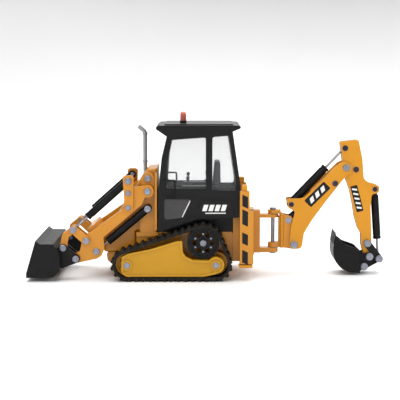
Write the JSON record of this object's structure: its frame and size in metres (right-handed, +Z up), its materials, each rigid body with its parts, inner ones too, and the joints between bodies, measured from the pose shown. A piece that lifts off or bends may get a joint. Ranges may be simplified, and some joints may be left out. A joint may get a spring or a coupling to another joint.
{
  "type": "toy backhoe loader",
  "caption": "Toy tracked backhoe loader in yellow and black, with a front loader bucket, cab, side-shifting digging arm and sliding stabiliser legs.",
  "frame": {"origin": "ground plane under the middle of the whole toy, at the middle of its length and width", "axes": "+X along the machine towards the digging arm, the loader bucket is at -X; +Z up; +Y towards the machine's far side, which is its right when facing the loader bucket"},
  "size_m": [0.1704, 0.05, 0.0789],
  "materials": {
    "yellow_paint": "gloss",
    "yellow_plastic": "semi-gloss",
    "black_plastic": "semi-matt",
    "black_paint": "satin",
    "rubber": "matt",
    "steel": "satin",
    "bright_chrome": "polished",
    "clear_glass": "clear",
    "orange_lens": "clear gloss"
  },
  "bodies": {
    "root": {"chassis_frame": "yellow_paint", "engine_hood": "yellow_paint", "exhaust_stack": "bright_chrome", "loader_towers": "yellow_paint", "tower_pins": "steel", "cab_base": "black_plastic", "cab_frame": "black_plastic", "cab_roof": "black_plastic", "cab_glazing": "clear_glass", "cab_interior": "black_plastic", "grab_handles": "black_plastic", "beacon_base": "black_plastic", "beacon_lens": "orange_lens", "left_track_frame": "yellow_plastic", "right_track_frame": "yellow_plastic", "left_track_belt": "rubber", "right_track_belt": "rubber", "track_axles": "steel", "rear_frame": "yellow_paint"},
    "left_drive": {"left_drive_wheel": "black_plastic"},
    "right_drive": {"right_drive_wheel": "black_plastic"},
    "left_front_wheel": {"left_front_idler": "yellow_plastic"},
    "right_front_wheel": {"right_front_idler": "yellow_plastic"},
    "left_rear_wheel": {"left_rear_idler": "yellow_plastic"},
    "right_rear_wheel": {"right_rear_idler": "yellow_plastic"},
    "left_leg": {"left_stabiliser_leg": "yellow_plastic"},
    "right_leg": {"right_stabiliser_leg": "yellow_plastic"},
    "carriage": {"sideshift_carriage": "yellow_paint", "swing_pin": "steel"},
    "swing_post": {"kingpost": "yellow_paint", "kingpost_pins": "steel"},
    "boom": {"boom_left_half": "yellow_plastic", "boom_right_half": "yellow_plastic", "boom_pins": "steel"},
    "boom_barrel": {"boom_ram_barrel": "black_plastic"},
    "boom_rod": {"boom_ram_rod": "bright_chrome"},
    "dipper": {"dipper_left_half": "yellow_plastic", "dipper_right_half": "yellow_plastic", "dipper_pins": "steel"},
    "dipper_barrel": {"dipper_ram_barrel": "black_plastic"},
    "dipper_rod": {"dipper_ram_rod": "bright_chrome"},
    "digger": {"digging_bucket": "black_paint", "digger_pin": "steel"},
    "curl_rocker_pair": {"curl_rocker": "black_plastic", "curl_rocker_pins": "steel"},
    "curl_link_pair": {"curl_link": "black_paint"},
    "curl_barrel": {"curl_ram_barrel": "black_plastic"},
    "curl_rod": {"curl_ram_rod": "bright_chrome"},
    "arms": {"loader_arms": "yellow_paint", "arm_pins": "steel"},
    "lift_barrel_pair": {"lift_barrels": "black_plastic"},
    "lift_rod_pair": {"lift_rods": "bright_chrome"},
    "tilt_barrel_pair": {"tilt_barrels": "black_plastic"},
    "tilt_rod_pair": {"tilt_rods": "bright_chrome"},
    "rocker_pair": {"tilt_rockers": "yellow_paint", "rocker_pins": "steel"},
    "link_pair": {"tilt_links": "yellow_paint"},
    "loader_bucket": {"front_bucket": "black_paint", "front_bucket_pins": "steel"}
  },
  "joints": [
    {"name": "loader_lift", "type": "hinge", "parent": "root", "child": "arms", "pos_m": [-0.0284, 0, 0.042], "axis": [0, 1, 0], "range_deg": [-1.5, 50]},
    {"name": "lift_barrel_swing", "type": "hinge", "parent": "root", "child": "lift_barrel_pair", "pos_m": [-0.0284, 0, 0.0337], "axis": [0, 1, 0], "range_deg": [-2.11, 54.05]},
    {"name": "lift_rod_swing", "type": "hinge", "parent": "arms", "child": "lift_rod_pair", "pos_m": [-0.0527, 0, 0.0134], "axis": [0, 1, 0], "range_deg": [-0.61, 4.05]},
    {"name": "bucket_tilt", "type": "hinge", "parent": "arms", "child": "loader_bucket", "pos_m": [-0.0624, 0, 0.0101], "axis": [0, -1, 0], "range_deg": [-20, 34]},
    {"name": "rocker_swing", "type": "hinge", "parent": "arms", "child": "rocker_pair", "pos_m": [-0.0574, 0, 0.0187], "axis": [0, -1, 0], "range_deg": [-20.5, 34.5]},
    {"name": "link_swing", "type": "hinge", "parent": "rocker_pair", "child": "link_pair", "pos_m": [-0.0634, 0, 0.0239], "axis": [0, -1, 0], "range_deg": [-34.5, 20.5]},
    {"name": "tilt_barrel_swing", "type": "hinge", "parent": "arms", "child": "tilt_barrel_pair", "pos_m": [-0.0374, 0, 0.047], "axis": [0, -1, 0], "range_deg": [-1.56, 2.3]},
    {"name": "tilt_rod_swing", "type": "hinge", "parent": "rocker_pair", "child": "tilt_rod_pair", "pos_m": [-0.0634, 0, 0.0239], "axis": [0, -1, 0], "range_deg": [-32.7, 19.44]},
    {"name": "side_shift", "type": "slide", "parent": "root", "child": "carriage", "axis": [0, 1, 0], "range_m": [-0.009, 0.009]},
    {"name": "boom_swing", "type": "hinge", "parent": "carriage", "child": "swing_post", "pos_m": [0.0318, 0, 0.021], "axis": [0, 0, 1], "range_deg": [-75, 75]},
    {"name": "boom_lift", "type": "hinge", "parent": "swing_post", "child": "boom", "pos_m": [0.0418, 0, 0.0145], "axis": [0, 1, 0], "range_deg": [-8, 38]},
    {"name": "boom_barrel_swing", "type": "hinge", "parent": "swing_post", "child": "boom_barrel", "pos_m": [0.0392, 0, 0.0262], "axis": [0, 1, 0], "range_deg": [-9.04, 41.05]},
    {"name": "boom_rod_swing", "type": "hinge", "parent": "boom", "child": "boom_rod", "pos_m": [0.0614, 0, 0.0443], "axis": [0, 1, 0], "range_deg": [-1.04, 3.05]},
    {"name": "dipper_reach", "type": "hinge", "parent": "boom", "child": "dipper", "pos_m": [0.0668, 0, 0.0519], "axis": [0, -1, 0], "range_deg": [-10, 50]},
    {"name": "dipper_barrel_swing", "type": "hinge", "parent": "boom", "child": "dipper_barrel", "pos_m": [0.0404, 0, 0.0341], "axis": [0, -1, 0], "range_deg": [-1.59, 5.95]},
    {"name": "dipper_rod_swing", "type": "hinge", "parent": "dipper", "child": "dipper_rod", "pos_m": [0.0662, 0, 0.0612], "axis": [0, -1, 0], "range_deg": [-45.05, 9.41]},
    {"name": "digger_curl", "type": "hinge", "parent": "dipper", "child": "digger", "pos_m": [0.0785, 0, 0.0087], "axis": [0, -1, 0], "range_deg": [-3, 80]},
    {"name": "curl_rocker_swing", "type": "hinge", "parent": "dipper", "child": "curl_rocker_pair", "pos_m": [0.0775, 0, 0.015], "axis": [0, -1, 0], "range_deg": [-1.85, 36.5]},
    {"name": "curl_link_swing", "type": "hinge", "parent": "curl_rocker_pair", "child": "curl_link_pair", "pos_m": [0.0834, 0, 0.0074], "axis": [0, -1, 0], "range_deg": [-0.56, 2.1]},
    {"name": "curl_barrel_swing", "type": "hinge", "parent": "dipper", "child": "curl_barrel", "pos_m": [0.0809, 0, 0.0414], "axis": [0, -1, 0], "range_deg": [-0.78, 7.94]},
    {"name": "curl_rod_swing", "type": "hinge", "parent": "curl_rocker_pair", "child": "curl_rod", "pos_m": [0.0834, 0, 0.0074], "axis": [0, -1, 0], "range_deg": [-29.06, 1.57]},
    {"name": "left_leg_drop", "type": "slide", "parent": "root", "child": "left_leg", "axis": [0, 0, -1], "range_m": [0, 0.006]},
    {"name": "left_drive_spin", "type": "hinge", "parent": "root", "child": "left_drive", "pos_m": [-0.0022, -0.0195, 0.0179], "axis": [0, 1, 0], "continuous": true},
    {"name": "left_front_idler_spin", "type": "hinge", "parent": "root", "child": "left_front_wheel", "pos_m": [-0.0379, -0.0195, 0.0078], "axis": [0, 1, 0], "continuous": true},
    {"name": "left_rear_idler_spin", "type": "hinge", "parent": "root", "child": "left_rear_wheel", "pos_m": [0.0038, -0.0195, 0.0078], "axis": [0, 1, 0], "continuous": true},
    {"name": "right_leg_drop", "type": "slide", "parent": "root", "child": "right_leg", "axis": [0, 0, -1], "range_m": [0, 0.006]},
    {"name": "right_drive_spin", "type": "hinge", "parent": "root", "child": "right_drive", "pos_m": [-0.0022, 0.0195, 0.0179], "axis": [0, 1, 0], "continuous": true},
    {"name": "right_front_idler_spin", "type": "hinge", "parent": "root", "child": "right_front_wheel", "pos_m": [-0.0379, 0.0195, 0.0078], "axis": [0, 1, 0], "continuous": true},
    {"name": "right_rear_idler_spin", "type": "hinge", "parent": "root", "child": "right_rear_wheel", "pos_m": [0.0038, 0.0195, 0.0078], "axis": [0, 1, 0], "continuous": true}
  ],
  "couplings": [
    {"joint": "lift_barrel_swing", "follows": "loader_lift", "ratio": 1.071},
    {"joint": "lift_rod_swing", "follows": "loader_lift", "ratio": 0.071},
    {"joint": "rocker_swing", "follows": "bucket_tilt", "ratio": 1},
    {"joint": "link_swing", "follows": "bucket_tilt", "ratio": -1},
    {"joint": "tilt_barrel_swing", "follows": "bucket_tilt", "ratio": 0.053},
    {"joint": "tilt_rod_swing", "follows": "bucket_tilt", "ratio": -0.947},
    {"joint": "boom_barrel_swing", "follows": "boom_lift", "ratio": 1.067},
    {"joint": "boom_rod_swing", "follows": "boom_lift", "ratio": 0.067},
    {"joint": "dipper_barrel_swing", "follows": "dipper_reach", "ratio": 0.109},
    {"joint": "dipper_rod_swing", "follows": "dipper_reach", "ratio": -0.891},
    {"joint": "curl_rocker_swing", "follows": "digger_curl", "ratio": 0.45},
    {"joint": "curl_link_swing", "follows": "digger_curl", "ratio": 0.02},
    {"joint": "curl_barrel_swing", "follows": "digger_curl", "ratio": 0.093},
    {"joint": "curl_rod_swing", "follows": "digger_curl", "ratio": -0.357},
    {"joint": "left_front_idler_spin", "follows": "left_drive_spin", "ratio": 1.3509},
    {"joint": "left_rear_idler_spin", "follows": "left_drive_spin", "ratio": 1.3509},
    {"joint": "right_front_idler_spin", "follows": "right_drive_spin", "ratio": 1.3509},
    {"joint": "right_rear_idler_spin", "follows": "right_drive_spin", "ratio": 1.3509}
  ]
}
